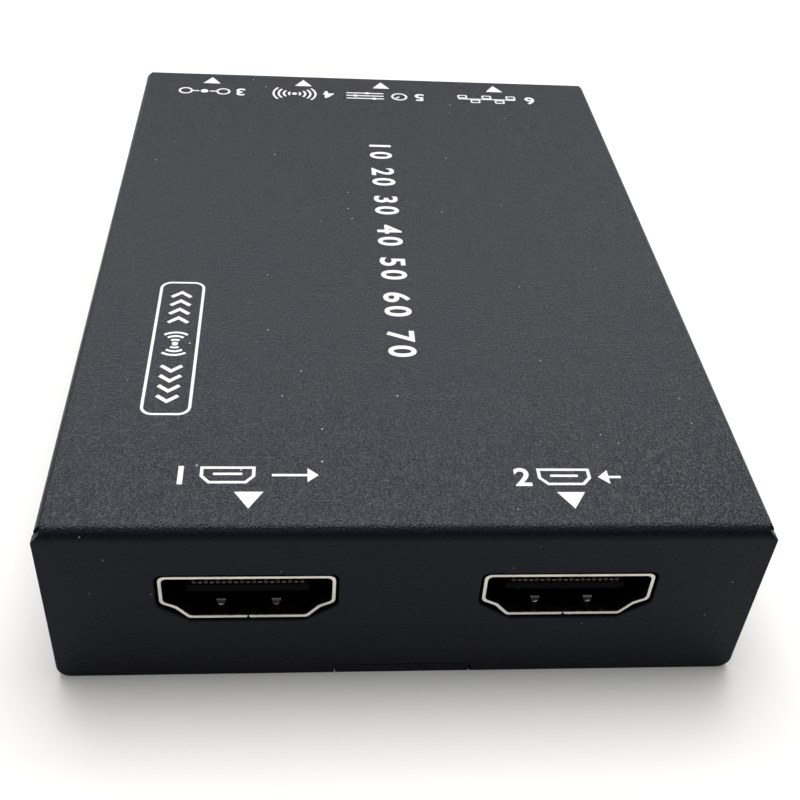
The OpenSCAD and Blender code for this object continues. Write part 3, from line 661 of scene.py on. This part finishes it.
def glyphs(body, height, spacing=1.0):
    """Plain digits as flat outlines of a height in millimetres, and their width."""
    curve = bpy.data.curves.new("digits", "FONT")
    curve.body = body
    curve.size = 1.0
    curve.space_character = spacing
    curve.offset = DIGIT_WEIGHT
    curve.resolution_u = 8
    text = bpy.data.objects.new("digits", curve)
    bpy.context.scene.collection.objects.link(text)
    ready = text.evaluated_get(bpy.context.evaluated_depsgraph_get())
    shape = bpy.data.meshes.new_from_object(ready)
    bpy.data.objects.remove(text)
    bpy.data.curves.remove(curve)
    points = [vertex.co.xy for vertex in shape.vertices]
    left, right = min(p.x for p in points), max(p.x for p in points)
    low, high = min(p.y for p in points), max(p.y for p in points)
    factor = height / (high - low)
    corners = [((p.x - left) * factor, (p.y - low) * factor) for p in points]
    faces = [[corners[i] for i in face.vertices] for face in shape.polygons]
    bpy.data.meshes.remove(shape)
    return faces, (right - left) * factor


def moved(faces, right, up):
    """The same shapes, a little to the right and up."""
    return [[(x + right, y + up) for x, y in face] for face in faces]


def band(path, width, closed=False):
    """A line of even width along a path, as four-sided faces."""
    count = len(path)
    points = [Vector(p) for p in path]
    sides = []
    for i in range(count):
        before = points[i - 1] if i > 0 or closed else None
        after = points[(i + 1) % count] if i < count - 1 or closed else None
        arms = [(points[i] - before).normalized()] if before is not None else []
        arms += [(after - points[i]).normalized()] if after is not None else []
        normals = [Vector((-arm.y, arm.x)) for arm in arms]
        joint = sum(normals, Vector((0, 0)))
        joint = joint * (width / joint.dot(normals[0])) / 2
        sides.append((points[i] + joint, points[i] - joint))
    last = count if closed else count - 1
    faces = []
    for i in range(last):
        (a, b), (c, d) = sides[i], sides[(i + 1) % count]
        faces.append([tuple(b), tuple(d), tuple(c), tuple(a)])
    return faces


def arc(centre, radius, start, stop, steps=12):
    """Points along an arc, from one angle to another in degrees."""
    turns = [math.radians(start + (stop - start) * i / steps) for i in range(steps + 1)]
    return [(centre[0] + radius * math.cos(t), centre[1] + radius * math.sin(t)) for t in turns]


def disc(centre, radius):
    return [arc(centre, radius, 0, 360, 24)[:-1]]


def ring(centre, radius, width):
    return band(arc(centre, radius, 0, 360, 28)[:-1], width, closed=True)


def round_frame(width, height, radius, line):
    """The outline of a rectangle with rounded corners."""
    path = []
    for x, y, start in ((1, -1, -90), (1, 1, 0), (-1, 1, 90), (-1, -1, 180)):
        centre = (x * (width / 2 - radius), y * (height / 2 - radius))
        path += arc(centre, radius, start, start + 90, 6)
    return band(path, line, closed=True)


def arrow(start, stop, height, line):
    """A straight arrow along the middle of a line of print, its shaft ending under its head."""
    turn = 1 if stop > start else -1
    neck = stop - turn * height * 0.55
    shaft = band([(start, 0), (neck, 0)], line)
    head = [(neck, -height / 2), (stop, 0), (neck, height / 2)]
    return shaft + [head if turn > 0 else head[::-1]]


def print_piece(name, faces, right_mm, back_mm, turn=0):
    """Lays flat shapes on the top, turned by degrees, from the middle of the front edge."""
    thickness = sizes().ink_thickness
    work = bmesh.new()
    for face in faces:
        corners = [work.verts.new((x * MM, y * MM, 0)) for x, y in face]
        work.faces.new(corners)
    bmesh.ops.remove_doubles(work, verts=work.verts, dist=WELD)
    bmesh.ops.recalc_face_normals(work, faces=work.faces)
    for face in work.faces:
        if face.normal.z < 0:
            face.normal_flip()
    base = list(work.faces)
    lifted = bmesh.ops.extrude_face_region(work, geom=base, use_keep_orig=True)
    top = [item for item in lifted["geom"] if isinstance(item, bmesh.types.BMVert)]
    bmesh.ops.translate(work, verts=top, vec=(0, 0, thickness))
    bmesh.ops.recalc_face_normals(work, faces=work.faces)
    place = Matrix.Translation((right_mm * MM, FRONT_Y + back_mm * MM, TOP_Z))
    work.transform(place @ Matrix.Rotation(math.radians(turn), 4, "Z"))
    mesh = bpy.data.meshes.new(name)
    work.to_mesh(mesh)
    work.free()
    return new_piece(name, mesh, "white_ink")


def socket_sign(line):
    """The outline of a flat socket with cut lower corners, about the middle of a line of print."""
    outline = [(-2.15, 0.9), (-2.15, -0.1), (-1.5, -0.85), (1.5, -0.85), (2.15, -0.1), (2.15, 0.9)]
    return band(outline, line, closed=True) + band([(-1.2, 0.15), (1.2, 0.15)], line)


def waves(centre, facing, line, count=3, first=0.62, step=0.58):
    """Arcs that spread from a point."""
    faces = []
    for i in range(count):
        faces += band(arc(centre, first + i * step, facing - 38, facing + 38, 8), line)
    return faces


def row(parts, gap):
    """Sets shapes side by side, each given with its width, about the middle of the row."""
    total = sum(width for _, width in parts) + gap * (len(parts) - 1)
    at = -total / 2
    faces = []
    for shape, width in parts:
        faces += moved(shape, at + width / 2, 0)
        at += width + gap
    return faces


def centred(body, height, spacing=1.0):
    """Digits about the middle of a line of print, and their width."""
    faces, width = glyphs(body, height, spacing)
    return moved(faces, -width / 2, -height / 2), width


def fitted(body, height, width):
    """Digits of a height, spaced out to a width."""
    close, wide = 1.0, 1.3
    close_w = glyphs(body, height, close)[1]
    wide_w = glyphs(body, height, wide)[1]
    spacing = close + (wide - close) * (width - close_w) / (wide_w - close_w)
    return centred(body, height, spacing)[0]


def mark(half_width, tip=0.0):
    """A triangle that points down."""
    high = MARK_HALF_HEIGHT
    return [[(-half_width, high), (tip, -high), (half_width, high)]]


def power_sign(line):
    """A pin between two rings, joined by short lines."""
    faces = disc((0, 0), 0.5)
    for side in (-1, 1):
        faces += ring((side * 2.45, 0), 0.8, line)
        faces += band(sorted([(side * 1.55, 0), (side * 0.7, 0)]), line)
    return faces


def wave_sign(line, point, *arcs):
    """Arcs that spread both ways from a point."""
    return disc((0, 0), point) + waves((0, 0), 0, line, *arcs) + waves((0, 0), 180, line, *arcs)


def chevron_rows():
    """Four chevrons on each side, pointing away from the middle."""
    faces = []
    for i in range(4):
        at = 3.4 + 1.45 * i
        for side in (1, -1):
            path = [(side * at, 0.95), (side * (at + 0.8), 0), (side * at, -0.95)]
            faces += band(path, CHEVRON_LINE)
    return faces


def gauge_sign(line):
    """A ring with a hand."""
    return ring((0, 0), 0.95, line) + band([(0, 0), (0.5, 0.5)], line)


def slider_sign(line):
    """Three lines, each with a knob and a gap on either side of it."""
    faces = []
    for up, knob in ((0.8, -1.2), (0.0, 1.3), (-0.8, -0.3)):
        faces += band([(-2.5, up), (knob - 0.3, up)], line) + disc((knob, up), 0.32)
        faces += band([(knob + 0.3, up), (2.5, up)], line)
    return faces


def network_sign(line):
    """Five small boxes, above and below a line in turn."""
    faces = band([(-3.9, 0), (3.9, 0)], line)
    for i in range(5):
        box = round_frame(1.1, 0.75, 0.1, 0.22)
        faces += moved(box, -3.3 + 1.65 * i, 0.68 if i % 2 else -0.68)
    return faces


def print_front(line):
    """The marks over the video sockets, with their numbers, signs and arrows."""
    print_piece("left_front_mark", mark(1.2, 0.03), -13.42, 3.66)
    print_piece("right_front_mark", mark(1.2, 0.03), 13.4, 3.6)
    sign = (socket_sign(line), 4.6)
    right_arrow = (arrow(-1.95, 1.95, 1.7, line), 3.9)
    left_arrow = (arrow(1.0, -1.0, 1.7, line), 2.0)
    left = row([centred("1", FRONT_DIGIT), sign, right_arrow], 1.35)
    right = row([centred("2", FRONT_DIGIT), sign, left_arrow], 0.6)
    print_piece("left_front_label", left, -13.5, 6.6)
    print_piece("right_front_label", right, 13.45, 6.4)


def print_middle(line):
    """The row of numbers along the top, and the rounded frame with its waves and chevrons."""
    numbers = fitted("10 20 30 40 50 60 70", SCALE_HEIGHT, SCALE_LENGTH)
    print_piece("distance_scale", numbers, 0.5, 44.6, -90)
    print_piece("round_frame", round_frame(20.6, 4.2, 1.0, FRAME_LINE), -21.1, 24.65, -90)
    print_piece("frame_sign", wave_sign(line, 0.3) + chevron_rows(), -21.1, 24.65, -90)


def print_rear(line):
    """The marks over the rear sockets, and under each mark its number and sign with its width."""
    for digit, right_mm in (("3", -21.2), ("4", -9.0), ("5", 1.5), ("6", 17.05)):
        print_piece(f"rear_mark_{digit}", mark(1.15), right_mm, 83.7, 180)
    signs = (
        ("3", -21.05, [(power_sign(line), 6.7)], 0.8),
        ("4", -9.0, [(wave_sign(line, 0.35, 4, 0.75, 0.68), 5.8)], 0.9),
        ("5", 1.95, [(gauge_sign(line), 2.2), (slider_sign(line), 5.0)], 1.0),
        ("6", 16.9, [(network_sign(line), 8.4)], 1.0),
    )
    for digit, right_mm, shapes, gap in signs:
        faces = row([centred(digit, REAR_DIGIT), *shapes], gap)
        print_piece(f"rear_label_{digit}", faces, right_mm, 80.3, 180)


# Operators


class ExtenderOperator(bpy.types.Operator):
    bl_options = {"REGISTER", "UNDO"}


class EXTENDER_OT_case(ExtenderOperator):
    """Shows the coated cover, the base plate and the screws"""

    bl_idname = "extender.case"
    bl_label = "Case"

    def execute(self, context):
        softened("cover", "coated_cover", "powder_coat", sizes().sheet_edge,
                 in_corner_or_notch)
        softened("base_plate", "coated_base_plate", "powder_coat", sizes().sheet_edge / 2,
                 at_notch)
        softened("case_screws", "flush_case_screws", "black_screw", sizes().shell_edge)
        softened("board_standoffs", "pressed_standoffs", "zinc_steel", sizes().shell_edge)
        dress("board_screws", "zinc_steel")
        return {"FINISHED"}


class EXTENDER_OT_video_sockets(ExtenderOperator):
    """Shows both video sockets"""

    bl_idname = "extender.video_sockets"
    bl_label = "Video sockets"

    def execute(self, context):
        for side in ("left", "right"):
            softened(f"{side}_video_shell", f"{side}_plated_shell", "nickel_plate",
                     sizes().seam_edge, behind_lip)
            dress(f"{side}_video_insulator", "black_moulding")
            dress(f"{side}_video_contacts", "gold_contact")
        return {"FINISHED"}


class EXTENDER_OT_rear_sockets(ExtenderOperator):
    """Shows the network, power, infrared and service sockets"""

    bl_idname = "extender.rear_sockets"
    bl_label = "Rear sockets"

    def execute(self, context):
        softened("network_shield", "plated_network_shield", "nickel_plate", sizes().shell_edge)
        softened("network_housing", "moulded_network_housing", "black_moulding",
                 sizes().moulded_edge)
        softened("power_housing", "moulded_power_housing", "black_moulding", sizes().moulded_edge)
        softened("infrared_housing", "moulded_infrared_housing", "black_moulding",
                 sizes().moulded_edge)
        softened("infrared_sleeve", "plated_infrared_sleeve", "nickel_plate", sizes().shell_edge)
        softened("service_shell", "plated_service_shell", "nickel_plate", sizes().shell_edge)
        for node in ("network_contacts", "infrared_springs", "service_contacts"):
            dress(node, "gold_contact")
        for node in ("power_pin", "power_spring"):
            dress(node, "nickel_plate")
        dress("service_tongue", "black_moulding")
        dress("network_light_pipes", "light_pipe")
        return {"FINISHED"}


class EXTENDER_OT_board(ExtenderOperator):
    """Shows the circuit board and the parts on it"""

    bl_idname = "extender.board"
    bl_label = "Circuit board"

    def execute(self, context):
        slots = {part["node"]: part["material_slot"] for part in frame["record"]["subparts"]}
        for node in ("circuit_board", "main_processor", "thermal_pad", "heat_sink",
                     "network_transformer", "splitter_chip", "controller_chip",
                     "voltage_regulators", "power_inductors", "storage_capacitors", "crystals",
                     "ceramic_parts"):
            dress(node, slots[node])
        return {"FINISHED"}


class EXTENDER_OT_print(ExtenderOperator):
    """Prints the plain signs and numbers on the top"""

    bl_idname = "extender.print"
    bl_label = "Print"

    def execute(self, context):
        line = sizes().ink_line / MM
        print_front(line)
        print_middle(line)
        print_rear(line)
        return {"FINISHED"}


def camera_matrix():
    """The camera's place and turn, solved from the photograph's edges."""
    forward = Vector(CAMERA_FORWARD).normalized()
    down = forward.cross(Vector(CAMERA_RIGHT)).normalized()
    right = down.cross(forward)
    turned = Matrix((right, -down, -forward)).transposed().to_4x4()
    return Matrix.Translation(Vector(CAMERA_MM) * MM) @ turned


def area_light(name, place, side, watts):
    """A rectangular lamp that shines at the middle of the floor."""
    light = bpy.data.lights.new(name, "AREA")
    light.shape = "RECTANGLE"
    light.size, light.size_y = side
    light.energy = watts
    lamp = bpy.data.objects.new(name, light)
    bpy.context.scene.collection.objects.link(lamp)
    lamp.location = place
    lamp.rotation_euler = (-Vector(place)).to_track_quat("-Z", "Y").to_euler()
    return lamp


def place_camera(scene):
    camera_data = bpy.data.cameras.new("camera")
    camera_data.sensor_width = SENSOR_MM
    camera_data.lens = FOCAL_PX / PHOTO_PX * SENSOR_MM
    camera_data.clip_start = NEAR_CLIP
    camera = bpy.data.objects.new("camera", camera_data)
    scene.collection.objects.link(camera)
    camera.matrix_world = camera_matrix()
    scene.camera = camera


def seen_rays(graph):
    """The kinds of ray, and one for the rays that show or mirror a surface."""
    rays = graph.node("LightPath").outputs
    eye = graph.math("MAXIMUM", rays["Is Camera Ray"], rays["Is Glossy Ray"])
    return rays, graph.math("MAXIMUM", eye, rays["Is Transmission Ray"])


def floor_finish():
    """Pale floor that fades to white far from the box; near it a faint glow lifts its shade as
    painted light, and in reflections it is painted darker.
    """
    material, graph, shader = new_material("floor")
    shader.inputs["Roughness"].default_value = 0.7
    shader.inputs["Specular IOR Level"].default_value = 0.2
    shader.inputs["Emission Color"].default_value = WHITE
    rays, eye = seen_rays(graph)
    place = graph.node("TexCoord").outputs["Object"]
    away = graph.node("VectorMath", {0: place}, operation="LENGTH")
    far = graph.ramp(away.outputs["Value"], FLOOR_NEAR, FLOOR_FAR, 0.1, 1.0)
    # Painted shade: reflections see the floor in a darker colour
    tone = graph.mix(rays["Is Glossy Ray"], rgba(colours().floor), FLOOR_REFLECTED_SHADE)
    # Painted light: the floor glows faintly near the box for the rays that show or mirror it,
    # rising to plain white far off
    join(graph, shader, Base_Color=tone, Emission_Strength=graph.product(eye, far))
    return material


def make_floor(scene):
    work = bmesh.new()
    for x, y in ((-1, -1), (1, -1), (1, 1), (-1, 1)):
        work.verts.new((x * FLOOR_HALF, y * FLOOR_HALF, 0))
    work.faces.new(work.verts)
    mesh = bpy.data.meshes.new("floor")
    work.to_mesh(mesh)
    work.free()
    mesh.materials.append(floor_finish())
    floor = bpy.data.objects.new("floor", mesh)
    scene.collection.objects.link(floor)


def light_sky(scene):
    """White to the camera; to the box darker in front of it and near the horizon."""
    world = bpy.data.worlds.new("studio")
    world.use_nodes = True
    scene.world = world
    graph = Graph(world.node_tree)
    rays, eye = seen_rays(graph)
    aim = graph.node("SeparateXYZ", {"Vector": graph.node("TexCoord").outputs["Generated"]})
    behind = graph.ramp(aim.outputs["Y"], -0.75, 0.2, 0.08, 1.0)
    upward = graph.ramp(aim.outputs["Z"], 0.3, 0.7, 0.27, 1.0)
    ambient = graph.product(behind, graph.ramp(eye, 0, 1, SKY_SHARE, 1.0), upward)
    strength = graph.math("MAXIMUM", rays["Is Camera Ray"], ambient)
    sky = world.node_tree.nodes["Background"]
    sky.inputs["Color"].default_value = WHITE
    graph.tree.links.new(strength, sky.inputs["Strength"])


class EXTENDER_OT_stage(ExtenderOperator):
    """Sets the floor, the light and the camera"""

    bl_idname = "extender.stage"
    bl_label = "Stage"

    def execute(self, context):
        scene = context.scene
        place_camera(scene)
        make_floor(scene)
        light_sky(scene)
        high = area_light("high_softbox", *HIGH_SOFTBOX)
        high.visible_glossy = False
        rear = area_light("rear_softbox", *REAR_SOFTBOX)
        rear.visible_diffuse = False
        scene.view_settings.view_transform = "Standard"
        return {"FINISHED"}


class EXTENDER_PT_panel(bpy.types.Panel):
    """Lists the steps and the values of the extender box"""

    bl_label = "Extender"
    bl_idname = "EXTENDER_PT_panel"
    bl_space_type = "VIEW_3D"
    bl_region_type = "UI"
    bl_category = "Extender"

    def draw(self, context):
        for group in (sizes(), colours()):
            for name in group.bl_rna.properties.keys():
                if name not in ("rna_type", "name"):
                    self.layout.prop(group, name)
        for step in STEPS:
            self.layout.operator(step.bl_idname)


STEPS = (
    EXTENDER_OT_case,
    EXTENDER_OT_video_sockets,
    EXTENDER_OT_rear_sockets,
    EXTENDER_OT_board,
    EXTENDER_OT_print,
    EXTENDER_OT_stage,
)
CLASSES = (ExtenderSizes, ExtenderColours, *STEPS, EXTENDER_PT_panel)


def register():
    for item in CLASSES:
        bpy.utils.register_class(item)
    bpy.types.Scene.extender_sizes = PointerProperty(type=ExtenderSizes)
    bpy.types.Scene.extender_colours = PointerProperty(type=ExtenderColours)


def unregister():
    del bpy.types.Scene.extender_colours
    del bpy.types.Scene.extender_sizes
    for item in reversed(CLASSES):
        bpy.utils.unregister_class(item)


def main():
    """Runs every step in order."""
    register()
    bpy.ops.extender.case()
    bpy.ops.extender.video_sockets()
    bpy.ops.extender.rear_sockets()
    bpy.ops.extender.board()
    bpy.ops.extender.print()
    bpy.ops.extender.stage()


if __name__ == "__main__":
    main()
